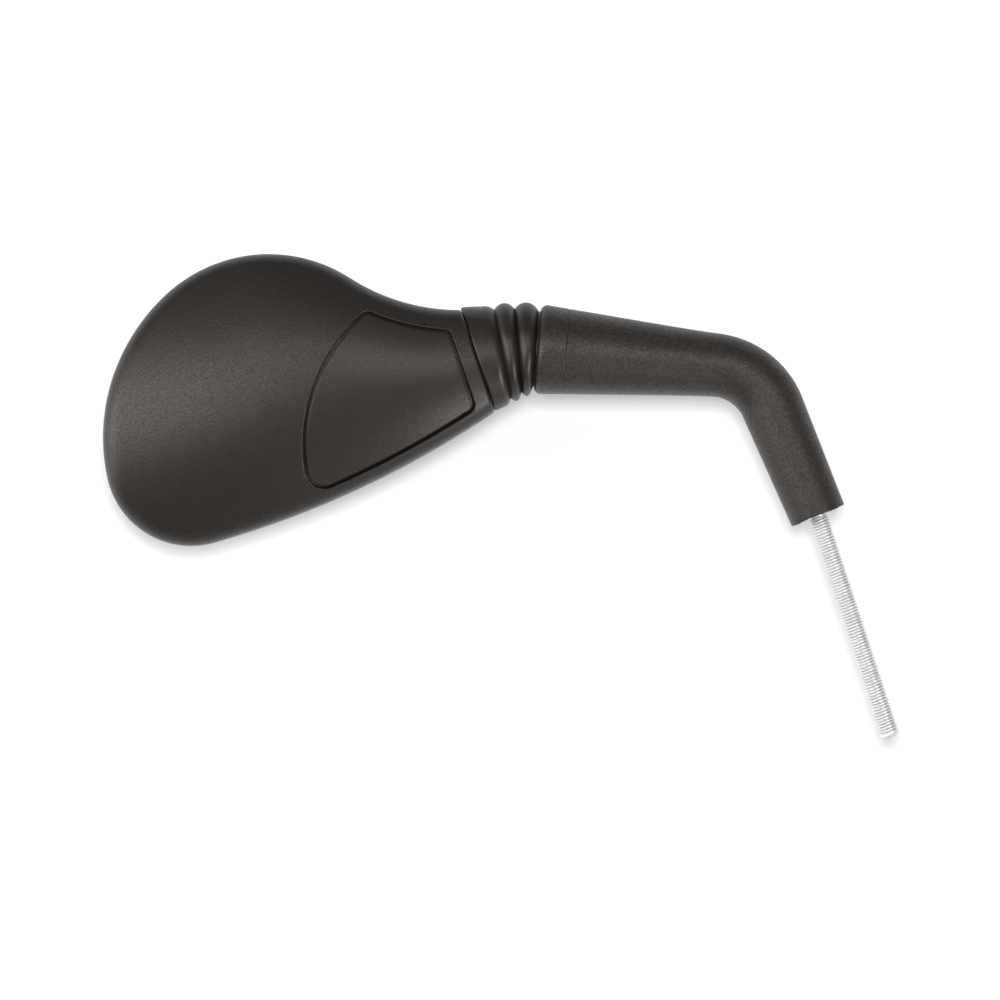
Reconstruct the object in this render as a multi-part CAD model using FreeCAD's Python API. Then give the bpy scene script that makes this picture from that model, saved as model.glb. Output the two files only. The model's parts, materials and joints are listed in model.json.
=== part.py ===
import FreeCAD, Part
import math
import os
from FreeCAD import Vector

# A scooter mirror. Millimetres and degrees, up is +Z.
# The origin is where the threaded stem leaves the arm; the back of the
# mirror faces -Y and its glass faces +Y.

# Stem: rolled thread below the arm, thinner shank inside it
thread_d = 8.0
thread_length = 98.0
thread_chamfer = 1.0
shank_d = 7.2
rod_bend_r = 26.0

# Arm: lower leg, elbow, and a leg that widens towards the head
leg_lean = 4.5
leg_length = 67.0
arm_rise = 23.4
arm_length = 92.7
elbow_r = 29.0
arm_tip_d = 23.9
arm_elbow_d = 26.2
arm_end_d = 38.0
arm_end_round = 3.0
arm_blend = 4.0
arm_tip_round = 0.8
arm_tip_gap = 0.05
moulded_gap = 0.02

# Ball and the seats round it
ball_d = 16.0
ball_to_arm = 7.4
ball_flat = 0.8
spigot_d = 5.0
spigot_past_centre = 3.0
seat_gap = 0.06
seat_t = 2.4
seat_near = 46.0
seat_far = 74.0
mouth_half_angle = 50.0
cup_wall = 2.5

# Pressure pad, spring and plug in the barrel, measured from the ball centre
pad_start = 3.4
pad_back = 12.0
washer_t = 1.0
spring_wire_d = 2.0
spring_length = 11.0
spring_turns = 4.0
plug_t = 6.0
plug_hex = 8.0
plug_hex_depth = 4.0

# Ears of the socket and the screws that hold them
ear_start = 29.0
ear_width = 10.0
ear_back = -2.0
ear_t = 6.0
screw_d = 4.0
screw_length = 14.0
screw_head_d = 7.6
screw_head_t = 2.6
screw_recess_d = 4.2
screw_recess_depth = 1.4
screw_washer_d = 8.0
screw_washer_t = 0.8
screw_gap = 0.05
screw_side_gap = 0.4

# Head outline: arcs that run into each other, seen from the back
neck_start = 18.6
neck_half = 22.5
side_centre_s = 99.2
side_centre_w = -7.9
side_r = 83.3
corner_r = 35.5
corner_angle = 6.7
top_r = 63.3
top_angle = 64.3
belly_r = 412.0
waist_r = 84.0

# Head depth: the crown is deepest over the middle and falls to the edges
front_face = 18.0
crown_depth = 26.5
crown_s = 88.0
crown_along_r = 330.0
crown_neck_r = 42.0
crown_wide_r = 95.0
crown_wide_w = 17.7
back_edge_r = 10.0
front_edge_r = 4.0

# Housing
wall = 2.8
front_wall = 2.2
neck_wall = 3.0
neck_edge_r = 1.5
hole_gap = 0.3
rim = 5.0
boss_d = 8.0
rib_t = 1.8
rib_places = (118.0, 148.0)

# Glass and the pad behind it
glass_t = 3.0
glass_convex_r = 1200.0
glass_gap = 0.4
glass_lip_gap = 0.05
chin_s = 52.0
chin_r = 90.0
chin_corner_r = 11.0
pad_t = 4.0
pad_inset = 3.0

# Access cover let into the back
cover_start = 26.9
cover_top_margin = 10.3
cover_bottom_margin = 6.5
cover_top_s = 56.5
cover_bottom_s = 101.5
cover_side_r = 73.7
cover_corner_r = 3.0
cover_low_corner_r = 7.0
cover_t = 2.2
cover_gap = 1.5
cover_edge_r = 0.4
ledge_w = 3.0
ledge_t = 2.0
ledge_depth = 8.0
hook_w = 8.0
hook_t = 1.6
hook_reach = 1.2

# Boot: places along its bent line from the neck (0) to the arm (1), and how
# far each ring lies inside the straight taper from neck to arm
boot_gap = 0.15
boot_wall = 1.5
boot_flange = 1.9
boot_tail = 4.0
boot_cup_gap = 1.4
boot_groove = 0.8
boot_fit = 0.05
collar_place = 0.2
collar_step = 1.6
collar_edge = 1.0
fold_places = (0.325, 0.445, 0.565, 0.725, 0.9)
fold_depths = (2.4, 0.3, 2.9, 0.2, 3.3)
fold_bulge = 2.2

# Sizes that follow from the ones above
ball_r = ball_d / 2
shank_r = shank_d / 2
seat_in = ball_r + seat_gap
seat_out = seat_in + seat_t
pocket_r = seat_out + seat_gap
cup_r = pocket_r + cup_wall
pad_r = pocket_r - seat_gap
arm_end_r = arm_end_d / 2
tail_in = cup_r + boot_cup_gap
tail_out = tail_in + boot_wall
recess_r = tail_out + boot_fit
barrel_end = ear_start + ear_width
screw_spread = cup_r + screw_washer_d / 2 + screw_side_gap

UP = Vector(0, 0, 1)
LEG = Vector(-math.sin(math.radians(leg_lean)), 0, math.cos(math.radians(leg_lean)))
ARM = Vector(-math.cos(math.radians(arm_rise)), 0, math.sin(math.radians(arm_rise)))
ELBOW = LEG * leg_length
ARM_END = ELBOW + ARM * arm_length
BALL = ARM_END + ARM * ball_to_arm

# The head is drawn in its own axes: s outboard along the neck from the ball,
# w up, f towards the glass. This carries a shape from there to the part.
HEAD = FreeCAD.Placement(FreeCAD.Matrix(
    -1, 0, 0, BALL.x,
    0, 0, 1, BALL.y,
    0, 1, 0, BALL.z,
    0, 0, 0, 1))
ARM_IN_HEAD = Vector(-math.cos(math.radians(arm_rise)), -math.sin(math.radians(arm_rise)), 0)
NECK = Vector(1, 0, 0)
CENTRE = Vector(0, 0, 0)


def smooth(t):
    """A step from 0 to 1 with level ends."""
    t = min(max(t, 0.0), 1.0)
    return t * t * (3 - 2 * t)


def ring(centre, across, half_across, half_y):
    """A closed oval: half_across along the given direction, half_y along Y."""
    points = []
    for k in range(16):
        a = 2 * math.pi * k / 16
        points.append(centre + across * (half_across * math.cos(a)) + Vector(0, half_y * math.sin(a), 0))
    curve = Part.BSplineCurve()
    curve.interpolate(Points=points, PeriodicFlag=True)
    return Part.Wire(curve.toShape())


def square_to(direction):
    """The direction in the XZ plane at right angles to this one."""
    return Vector(direction.z, 0, -direction.x)


def edges_where(shape, test):
    """The edges of a shape whose middle point passes the test."""
    found = []
    for edge in shape.Edges:
        first, last = edge.ParameterRange
        if test(edge.valueAt((first + last) / 2)):
            found.append(edge)
    return found


def in_part(shape):
    """A head shape moved from the head's axes to the part's."""
    moved = shape.copy()
    moved.Placement = HEAD.multiply(moved.Placement)
    return moved


# Stem and arm

def bent_bar(radius, start, end):
    """A round bar up the Z axis from height start, round one bend, and along the arm to point end."""
    corner = Vector(0, 0, ELBOW.z - ELBOW.x * ARM.z / ARM.x)
    turn = UP.getAngle(ARM)
    reach = rod_bend_r * math.tan(turn / 2)
    bend_start = corner - UP * reach
    bend_end = corner + ARM * reach
    upright = Part.makeCylinder(radius, bend_start.z - start, Vector(0, 0, start), UP)
    disc = Part.Face(Part.Wire(Part.makeCircle(radius, bend_start, UP)))
    hub = bend_start + Vector(-rod_bend_r, 0, 0)
    bend = disc.revolve(hub, Vector(0, -1, 0), math.degrees(turn))
    leaning = Part.makeCylinder(radius, bend_end.distanceToPoint(end), bend_end, ARM)
    return upright.fuse([bend, leaning]).removeSplitter()


def stem_rod():
    """Thread, shank, bend and the spigot that the ball is pressed on."""
    thread = Part.makeCylinder(thread_d / 2, thread_length, Vector(0, 0, -thread_length), UP)
    tip = edges_where(thread, lambda p: p.z < -thread_length + 0.01)
    thread = thread.makeChamfer(thread_chamfer, tip)
    shoulder = BALL - ARM * (ball_r - ball_flat + moulded_gap)
    shank = bent_bar(shank_r, 0, shoulder)
    spigot_length = ball_r - ball_flat + moulded_gap + spigot_past_centre
    spigot = Part.makeCylinder(spigot_d / 2, spigot_length, shoulder, ARM)
    return thread.fuse([shank, spigot]).removeSplitter()


def joint_ball():
    """A ball with a flat for the shank's shoulder and a blind bore for the spigot."""
    ball = Part.makeSphere(ball_r, BALL)
    flat = Part.makeCylinder(ball_r, ball_r, BALL - ARM * (ball_r - ball_flat), ARM * -1)
    bore_depth = ball_r + spigot_past_centre + moulded_gap
    bore = Part.makeCylinder(spigot_d / 2 + moulded_gap, bore_depth, BALL - ARM * ball_r, ARM)
    return ball.cut(flat).cut(bore)


def sleeve_leg(reach):
    """The sleeve's lower leg: a slight cone from its rounded lower end up to the elbow."""
    tip_r = arm_tip_d / 2
    foot = LEG * (tip_r * math.sin(math.radians(leg_lean)) + arm_tip_gap)
    cone = Part.makeCone(tip_r, arm_elbow_d / 2, leg_length - reach - foot.Length, foot, LEG)
    rim_edge = edges_where(cone, lambda p: (p - foot).dot(LEG) < 0.01)
    return cone.makeFillet(arm_tip_round, rim_edge)


def sleeve_elbow(reach):
    """The bend between the legs, of one thickness."""
    start = LEG * (leg_length - reach)
    disc = Part.Face(Part.Wire(Part.makeCircle(arm_elbow_d / 2, start, LEG)))
    hub = start - square_to(LEG) * elbow_r
    return disc.revolve(hub, Vector(0, -1, 0), math.degrees(LEG.getAngle(ARM)))


def sleeve_arm(reach):
    """The sleeve's upper leg: it leaves the elbow level, widens evenly and ends in a rounded rim."""
    mid_r = arm_elbow_d / 2
    widening = (arm_end_r - mid_r) / (arm_length - reach - arm_blend)
    heights = [(reach, mid_r), (reach + arm_blend, mid_r), (reach + 2 * arm_blend, mid_r + widening * arm_blend)]
    blend = Part.BezierCurve()
    blend.setPoles([ELBOW + ARM * along + square_to(ARM) * radius for along, radius in heights])
    start = ELBOW + ARM * reach
    rim_point = ARM_END + square_to(ARM) * arm_end_r
    sides = Part.makePolygon([blend.EndPoint, rim_point, ARM_END, start, blend.StartPoint])
    leg = Part.Face(Part.Wire([blend.toShape()] + sides.Edges)).revolve(start, ARM, 360)
    rim_edge = edges_where(leg, lambda p: (p - ARM_END).dot(ARM) > -0.01)
    return leg.makeFillet(arm_end_round, rim_edge)


def arm_sleeve():
    """A soft sleeve round the bent rod, with a recess in its wide end for the boot."""
    reach = elbow_r * math.tan(LEG.getAngle(ARM) / 2)
    sleeve = sleeve_leg(reach).fuse([sleeve_elbow(reach), sleeve_arm(reach)])
    recess_depth = cup_r - ball_to_arm + boot_cup_gap
    recess = Part.makeCylinder(recess_r, recess_depth, ARM_END - ARM * recess_depth, ARM)
    bore = bent_bar(shank_r + moulded_gap, -2 * arm_tip_d, ARM_END)
    return sleeve.cut(recess).cut(bore)


# Ball joint, drawn in the head's axes with the ball centre at the origin

def band_point(radius, angle):
    """A point at a distance from the ball centre, its angle measured from the arm's line."""
    normal = Vector(ARM_IN_HEAD.y, -ARM_IN_HEAD.x, 0)
    a = math.radians(angle)
    return ARM_IN_HEAD * (radius * math.cos(a)) + normal * (radius * math.sin(a))


def mouth_cone(reach):
    """The space in the socket's mouth: a cone round the arm's line from the ball centre outwards."""
    corners = [CENTRE, band_point(reach, 0), band_point(reach, mouth_half_angle), CENTRE]
    return Part.Face(Part.makePolygon(corners)).revolve(CENTRE, ARM_IN_HEAD, 360)


def seat_ring():
    """The nylon ring in front of the ball: a band of a hollow sphere, turned round the arm's line."""
    middle = (seat_near + seat_far) / 2
    outer = Part.Arc(band_point(seat_out, seat_near), band_point(seat_out, middle), band_point(seat_out, seat_far))
    inner = Part.Arc(band_point(seat_in, seat_far), band_point(seat_in, middle), band_point(seat_in, seat_near))
    sides = [Part.makeLine(outer.EndPoint, inner.StartPoint), Part.makeLine(inner.EndPoint, outer.StartPoint)]
    profile = Part.Wire([outer.toShape(), sides[0], inner.toShape(), sides[1]])
    return Part.Face(profile).revolve(CENTRE, ARM_IN_HEAD, 360)


def pressure_pad():
    """The nylon plug behind the ball, hollowed to fit it."""
    plug = Part.makeCylinder(pad_r, pad_back - pad_start, NECK * pad_start, NECK)
    return plug.cut(Part.makeSphere(seat_in))


def thrust_washer():
    """A flat washer between pad and spring."""
    washer = Part.makeCylinder(pad_r - seat_gap, washer_t, NECK * pad_back, NECK)
    return washer.cut(Part.makeCylinder(pad_r / 2, washer_t, NECK * pad_back, NECK))


def friction_spring():
    """A coil spring with its ends ground flat."""
    mean_r = pad_r - spring_wire_d
    start = pad_back + washer_t
    pitch = spring_length / spring_turns
    helix = Part.makeHelix(pitch, spring_length, mean_r)
    profile = Part.Wire(Part.makeCircle(spring_wire_d / 2, Vector(mean_r, 0, 0), Vector(0, 1, 0)))
    coil = Part.Wire(helix.Edges).makePipeShell([profile], True, True)
    slab = Part.makeBox(4 * pad_r, 4 * pad_r, spring_length, Vector(-2 * pad_r, -2 * pad_r, 0))
    coil = coil.common(slab)
    coil.Placement = FreeCAD.Placement(NECK * start, FreeCAD.Rotation(UP, NECK))
    return coil


def spring_plug():
    """A round plug with a hexagon socket."""
    start = pad_back + washer_t + spring_length
    plug = Part.makeCylinder(pad_r, plug_t, NECK * start, NECK)
    corners = []
    for k in range(7):
        a = math.radians(60 * k)
        reach = plug_hex / math.sqrt(3)
        corners.append(Vector(start + plug_t - plug_hex_depth, reach * math.cos(a), reach * math.sin(a)))
    hexagon = Part.Face(Part.makePolygon(corners)).extrude(NECK * (2 * plug_hex_depth))
    return plug.cut(hexagon)


def screw_places():
    """Upper and lower screw axis in the head's axes, at the back face of the ears."""
    middle = ear_start + ear_width / 2
    return Vector(middle, screw_spread, ear_back), Vector(middle, -screw_spread, ear_back)


def bullet(radius, length):
    """Half a ball round the ball centre that runs on as a cylinder along the neck."""
    pole = NECK * -radius
    shoulder = UP * radius
    slant = (pole + shoulder) * math.sqrt(0.5)
    end = NECK * length
    sides = [Part.Arc(pole, slant, shoulder).toShape(), Part.makeLine(shoulder, end + shoulder)]
    sides += [Part.makeLine(end + shoulder, end), Part.makeLine(end, pole)]
    return Part.Face(Part.Wire(sides)).revolve(CENTRE, NECK, 360)


def ball_socket():
    """A cup round the ball that runs into a barrel, with two ears for screws."""
    body = bullet(cup_r, barrel_end)
    for place in screw_places():
        ear = Part.makeCylinder(ear_width / 2, ear_t, place, UP)
        web = Part.makeBox(ear_width, abs(place.y), ear_t, Vector(ear_start, min(0, place.y), ear_back))
        body = body.fuse([ear, web])
    body = body.removeSplitter().cut(bullet(pocket_r, 2 * barrel_end)).cut(mouth_cone(3 * cup_r))
    groove_start = neck_start - boot_gap - boot_flange - boot_fit
    groove = Part.makeCylinder(2 * cup_r, boot_flange + 2 * boot_fit, NECK * groove_start, NECK)
    groove = groove.cut(Part.makeCylinder(cup_r - boot_groove, 3 * cup_r, CENTRE, NECK))
    body = body.cut(groove)
    for place in screw_places():
        body = body.cut(Part.makeCylinder(screw_d / 2 + hole_gap, 2 * ear_t, place - UP * ear_t / 2, UP))
    return body


def socket_screw(place):
    """A cylinder-head screw with a recess, its head towards the back."""
    seat = place - UP * screw_washer_t
    shank = Part.makeCylinder(screw_d / 2, screw_length, seat, UP)
    head = Part.makeCylinder(screw_head_d / 2, screw_head_t, seat - UP * screw_head_t, UP)
    rounded = edges_where(head, lambda p: p.z < seat.z - screw_head_t + 0.01)
    head = head.makeFillet(screw_head_t / 3, rounded)
    recess = Part.makeBox(screw_recess_d, screw_head_t / 3, screw_recess_depth)
    recess.translate(seat - UP * screw_head_t - Vector(screw_recess_d / 2, screw_head_t / 6, 0))
    cross = recess.copy()
    cross.rotate(seat, UP, 90)
    return shank.fuse(head).removeSplitter().cut(recess).cut(cross)


def screw_washer(place):
    """A flat washer under a screw head."""
    disc = Part.makeCylinder(screw_washer_d / 2, screw_washer_t, place - UP * screw_washer_t, UP)
    return disc.cut(Part.makeCylinder(screw_d / 2 + screw_gap, screw_washer_t, place - UP * screw_washer_t, UP))


# Head outline and crown

def polar(centre, radius, angle):
    """The point at an angle, in radians, round a centre."""
    return Vector(centre.x + radius * math.cos(angle), centre.y + radius * math.sin(angle), 0)


def upper_meeting(centre_a, radius_a, centre_b, radius_b):
    """The higher of the two points where two circles cross."""
    apart = centre_b - centre_a
    gap = apart.Length
    along = (gap ** 2 + radius_a ** 2 - radius_b ** 2) / (2 * gap)
    rise = math.sqrt(radius_a ** 2 - along ** 2)
    unit = apart / gap
    foot = centre_a + unit * along
    normal = Vector(-unit.y, unit.x, 0)
    points = [foot + normal * rise, foot - normal * rise]
    return max(points, key=lambda p: p.y)


def angle_of(start, end):
    """The direction from one point to another, in radians."""
    return math.atan2(end.y - start.y, end.x - start.x)


SIDE = Vector(side_centre_s, side_centre_w, 0)
CORNER = polar(SIDE, side_r - corner_r, math.radians(corner_angle))
TOP = polar(SIDE, side_r - top_r, math.radians(top_angle))
BELLY = upper_meeting(CORNER, belly_r - corner_r, Vector(neck_start, -neck_half, 0), belly_r)
WAIST = upper_meeting(TOP, top_r + waist_r, Vector(neck_start, neck_half, 0), waist_r)


def arc(centre, radius, first, last):
    """An arc round a centre between two angles in radians."""
    return Part.Arc(polar(centre, radius, first), polar(centre, radius, (first + last) / 2),
                    polar(centre, radius, last)).toShape()


def lowest_at(centre, radius, s):
    """The angle at which the lower half of a circle passes a given s."""
    return -math.acos((s - centre.x) / radius)


def head_outline(inset):
    """The closed outline of the head, moved inwards by inset, running past the neck face."""
    inner = neck_start - 3 * wall
    belly_start = lowest_at(BELLY, belly_r - inset, inner)
    belly_end = angle_of(BELLY, CORNER)
    top_end = angle_of(TOP, WAIST)
    waist_end = lowest_at(WAIST, waist_r + inset, inner)
    edges = [
        arc(BELLY, belly_r - inset, belly_start, belly_end),
        arc(CORNER, corner_r - inset, belly_end, math.radians(corner_angle)),
        arc(SIDE, side_r - inset, math.radians(corner_angle), math.radians(top_angle)),
        arc(TOP, top_r - inset, math.radians(top_angle), top_end),
        arc(WAIST, waist_r + inset, top_end - math.pi, waist_end),
    ]
    edges.append(Part.makeLine(polar(WAIST, waist_r + inset, waist_end), polar(BELLY, belly_r - inset, belly_start)))
    return Part.Wire(Part.__sortEdges__(edges))


def crown(s, w):
    """How far behind the ball plane the head's back lies: a ridge with a rounded section."""
    t = smooth((s - neck_start) / (side_centre_s - neck_start))
    ridge_w = crown_wide_w * t
    section_r = crown_neck_r + (crown_wide_r - crown_neck_r) * t
    return crown_depth - (s - crown_s) ** 2 / (2 * crown_along_r) - (w - ridge_w) ** 2 / (2 * section_r)


def crown_block(inset):
    """Everything in front of the head's back face, the face moved inwards by inset."""
    s_places = [neck_start + (side_centre_s + side_r - neck_start) * (k - 1) / 9 for k in range(12)]
    w_low = -neck_half - side_r / 3
    w_high = TOP.y + top_r + side_r / 8
    rows = []
    for s in s_places:
        row = []
        for k in range(9):
            w = w_low + (w_high - w_low) * k / 8
            row.append(Vector(s, w, inset - crown(s, w)))
        rows.append(row)
    surface = Part.BSplineSurface()
    surface.interpolate(rows)
    return surface.toShape().extrude(UP * (4 * crown_depth))


def head_block(inset, front):
    """The solid head inside its back edge round, moved inwards by inset, up to the plane f = front."""
    base = Part.Face(head_outline(inset))
    base.translate(UP * (-2 * crown_depth))
    prism = base.extrude(UP * (2 * crown_depth + front))
    block = prism.common(crown_block(inset))
    inner = neck_start - 3 * wall
    rim_edges = edges_where(block, lambda p: abs(p.z - inset + crown(p.x, p.y)) < 0.2 and p.x > inner + 0.5)
    return block.makeFillet(back_edge_r - inset, rim_edges)


def past(shape, s):
    """The part of a head shape that lies outboard of s."""
    reach = 4 * side_r
    return shape.common(Part.makeBox(reach, 2 * reach, 2 * reach, Vector(s, -reach, -reach)))


def front_prism(inset, back, front):
    """A column with the outline of the glass opening, moved inwards by inset."""
    column = Part.Face(head_outline(inset)).extrude(UP * (front - back))
    chin = Part.makeCylinder(chin_r - inset, front - back, Vector(chin_s + chin_r, TOP.y / 2, 0))
    column = column.common(chin)
    corners = edges_where(column, lambda p: abs(p.z - (front - back) / 2) < 0.01 and p.x < chin_s + chin_r / 4)
    column = column.makeFillet(chin_corner_r, corners)
    column.translate(UP * back)
    return column


def cover_side_centre():
    """The centre of the arc that bounds the cover outboard."""
    top_here = waist_r + cover_top_margin
    low_here = belly_r - cover_bottom_margin
    top = polar(WAIST, top_here, lowest_at(WAIST, top_here, cover_top_s))
    low = polar(BELLY, low_here, lowest_at(BELLY, low_here, cover_bottom_s))
    chord = low - top
    inward = Vector(chord.y, -chord.x, 0) / chord.Length
    return (top + low) / 2 + inward * math.sqrt(cover_side_r ** 2 - (chord.Length / 2) ** 2)


def cover_prism(grow):
    """A column with the outline of the access cover, made larger by grow, behind the ball plane."""
    height = 2 * crown_depth
    floor = UP * -height
    column = Part.makeBox(2 * side_r, 2 * side_r, height, Vector(cover_start - grow, -side_r, -height))
    column = column.cut(Part.makeCylinder(waist_r + cover_top_margin - grow, height, WAIST + floor))
    column = column.common(Part.makeCylinder(belly_r - cover_bottom_margin + grow, height, BELLY + floor))
    side = Part.makeCylinder(cover_side_r + grow, height, cover_side_centre() + floor)
    side.rotate(cover_side_centre(), UP, 180)
    column = column.common(side)
    upright = edges_where(column, lambda p: abs(p.z + height / 2) < 0.01)
    low = [edge for edge in upright if edge.CenterOfMass.x > cover_top_s and edge.CenterOfMass.y < 0]
    rest = [edge for edge in upright if edge.CenterOfMass.x <= cover_top_s or edge.CenterOfMass.y >= 0]
    column = column.makeFillet(cover_corner_r + grow / 2, rest)
    low_place = low[0].CenterOfMass
    again = edges_where(column, lambda p: p.distanceToPoint(low_place) < 0.1)
    return column.makeFillet(cover_low_corner_r + grow, again)


BLOCKS = {}


def block_at(inset):
    """The head moved inwards by inset, kept so that it is made only once."""
    if inset not in BLOCKS:
        BLOCKS[inset] = head_block(inset, front_face - front_wall)
    return BLOCKS[inset]


def outer_border(shape, column):
    """The edges of a shape that lie on the head's back face and on the wall of a column."""
    skin = Part.Shell(block_at(0).Faces)
    border = []
    for edge in shape.Edges:
        first, last = edge.ParameterRange
        middle = Part.Vertex(edge.valueAt((first + last) / 2))
        if middle.distToShape(skin)[0] < 0.005 and middle.distToShape(Part.Shell(column.Faces))[0] < 0.005:
            border.append(edge)
    return border


def mirror_housing():
    """The moulded shell: crown, walls, neck, chin and lip, with the seat for the cover inside."""
    outer = head_block(0, front_face)
    front = edges_where(outer, lambda p: abs(p.z - front_face) < 0.01 and p.x > neck_start - 2 * wall)
    outer = past(outer.makeFillet(front_edge_r, front), neck_start)
    outer = outer.makeFillet(neck_edge_r, edges_where(outer, lambda p: p.x < neck_start + 0.01))
    cavity = past(block_at(wall), neck_start + neck_wall)
    body = outer.cut(cavity)
    seat_top = cover_t + moulded_gap
    ledge = block_at(seat_top).cut(block_at(seat_top + ledge_t)).common(cover_prism(ledge_w))
    ledge = ledge.cut(Part.makeBox(4 * side_r, 4 * side_r, crown_depth, Vector(0, -2 * side_r, -ledge_depth)))
    body = body.fuse(past(ledge, neck_start + neck_wall / 2))
    recess = cover_prism(cover_gap)
    body = body.cut(recess.cut(block_at(seat_top)))
    body = body.makeFillet(cover_edge_r, outer_border(body, recess))
    body = body.cut(cover_prism(-ledge_w))
    body = body.cut(front_prism(rim, front_face - 2 * front_wall, 2 * front_face))
    body = body.cut(Part.makeCylinder(cup_r + hole_gap, 2 * neck_start, CENTRE, NECK))
    for place in screw_places():
        ear_front = place + UP * ear_t
        boss = Part.makeCylinder(boss_d / 2, front_face - front_wall / 2 - ear_front.z, ear_front, UP)
        hole = Part.makeCylinder(screw_d / 2 + screw_gap, screw_length - ear_t, ear_front, UP)
        body = body.fuse(boss).cut(hole)
    for place in rib_places:
        slab = Part.makeBox(rib_t, 4 * side_r, 4 * crown_depth, Vector(place, -2 * side_r, -4 * crown_depth))
        slab.translate(UP * pad_back_face())
        body = body.fuse(slab.common(block_at(wall / 2)))
    return body.removeSplitter()


def cover_hook(angle, place):
    """A hook that stands on the cover inside the seat's edge and reaches out under the seat."""
    clear = cover_gap / 2
    under = cover_t + moulded_gap + ledge_t + clear
    end = under + hook_t - crown(place.x, place.y)
    tall = 2 * crown_depth
    leg = Part.makeBox(hook_t, hook_w, tall, Vector(-clear - hook_t, -hook_w / 2, end - tall))
    barb = Part.makeBox(hook_reach + clear + hook_t, hook_w, tall, Vector(-clear - hook_t, -hook_w / 2, end - tall))
    turned = FreeCAD.Placement(place, FreeCAD.Rotation(UP, angle))
    leg.Placement = turned.multiply(leg.Placement)
    barb.Placement = turned.multiply(barb.Placement)
    return leg.common(block_at(cover_t / 2)).fuse(barb.common(block_at(under)))


def access_cover():
    """The panel that closes the back, a piece of the head's skin with four hooks."""
    column = cover_prism(0)
    panel = block_at(0).cut(block_at(cover_t)).common(column)
    panel = panel.makeFillet(cover_edge_r, outer_border(panel, column))
    inboard = cover_start + ledge_w
    places = [(180, Vector(inboard, -neck_half / 3, 0)), (180, Vector(inboard, neck_half / 4, 0))]
    for angle in (35, 55):
        places.append((angle, polar(cover_side_centre(), cover_side_r - ledge_w, math.radians(angle))))
    for angle, place in places:
        panel = panel.fuse(cover_hook(angle, place))
    return panel.removeSplitter()


# Glass

def glass_middle():
    """The point of the glass that stands out furthest."""
    return Vector((chin_s + side_centre_s + side_r) / 2, crown_wide_w, 0)


def glass_crown():
    """The f of the middle of the glass, set so that its edge meets the back of the lip."""
    middle = glass_middle()
    half = min(side_r - SIDE.distanceToPoint(middle), belly_r - BELLY.distanceToPoint(middle)) - rim
    return front_face - front_wall - glass_lip_gap + half ** 2 / (2 * glass_convex_r)


def pad_back_face():
    """The f of the flat back of the pad, where the ribs end."""
    return front_face - front_wall - glass_lip_gap - glass_t - pad_t


def glass_ball(depth):
    """The sphere of the glass face, moved back by depth."""
    return Part.makeSphere(glass_convex_r - depth, glass_middle() + UP * (glass_crown() - glass_convex_r))


def mirror_glass():
    """A convex sheet of glass that lies behind the lip."""
    sheet = front_prism(wall + glass_gap, pad_back_face(), front_face)
    return sheet.common(glass_ball(0)).cut(glass_ball(glass_t))


def glass_pad():
    """The foam between the ribs and the glass."""
    pad = front_prism(wall + glass_gap + pad_inset, pad_back_face(), front_face)
    return pad.common(glass_ball(glass_t + moulded_gap))


# Boot

def boot_ring(place, depth):
    """A ring of the boot: its place along the bent line, how far it lies inside the taper, the collar's top lifted."""
    neck = BALL - Vector(neck_start - boot_gap, 0, 0)
    centre = neck * (1 - place) ** 2 + BALL * (2 * place * (1 - place)) + ARM_END * place ** 2
    neck_back = crown(neck_start, 0)
    centre = centre + Vector(0, (front_face - neck_back) / 2 * (1 - place), 0)
    tilt = math.radians(arm_rise * place)
    across = Vector(math.sin(tilt), 0, math.cos(tilt))
    lift = collar_step / 2 * max(0, 1 - place / collar_place)
    centre = centre + across * lift
    half_across = neck_half + (arm_end_r - neck_half) * place - depth + lift
    half_y = (front_face + neck_back) / 2 * (1 - place) + arm_end_r * place - depth
    return ring(centre, across, half_across, half_y)


def tail_ring(radius, depth):
    """A ring of the boot's tail, inside the arm by depth."""
    return ring(ARM_END - ARM * depth, square_to(ARM), radius, radius)


def fold_depth(place):
    """How far inside the taper the boot lies at a place: round at the folds, sharp at the valleys between."""
    places = (0.0, collar_place) + fold_places + (1.0,)
    depths = (0.2, 0.2) + fold_depths + (arm_end_r - tail_out,)
    for k in range(len(places) - 1):
        if place <= places[k + 1]:
            t = (place - places[k]) / (places[k + 1] - places[k])
            if depths[k] > depths[k + 1]:
                return depths[k + 1] + (depths[k] - depths[k + 1]) * (1 - t) ** fold_bulge
            return depths[k] + (depths[k + 1] - depths[k]) * t ** fold_bulge
    return depths[-1]


def bellows_boot():
    """Collar, two folds and a tail in one rubber piece, with a flange round the barrel."""
    outer = [boot_ring(0, collar_edge), boot_ring(0.015, collar_edge / 3), boot_ring(0.04, 0.2)]
    outer.append(boot_ring(collar_place, 0.2))
    flange = boot_ring(0, boot_wall)
    flange.translate(Vector(boot_flange, 0, 0))
    inner = [flange, boot_ring(collar_place, boot_wall)]
    last = collar_place
    for place in fold_places + (1.0,):
        for t in (0.25, 0.5, 0.75, 1.0):
            here = last + (place - last) * t
            outer.append(boot_ring(here, fold_depth(here)))
        inner.append(boot_ring(place, fold_depth(place) + boot_wall))
        last = place
    outer.append(tail_ring(tail_out, boot_tail))
    inner.append(tail_ring(tail_in, boot_tail + boot_wall))
    boot = Part.makeLoft(outer, True, True).cut(Part.makeLoft(inner, True, True))
    hole_r = cup_r - boot_groove + boot_fit
    return boot.cut(Part.makeCylinder(hole_r, neck_start, BALL, Vector(-1, 0, 0)))


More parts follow.
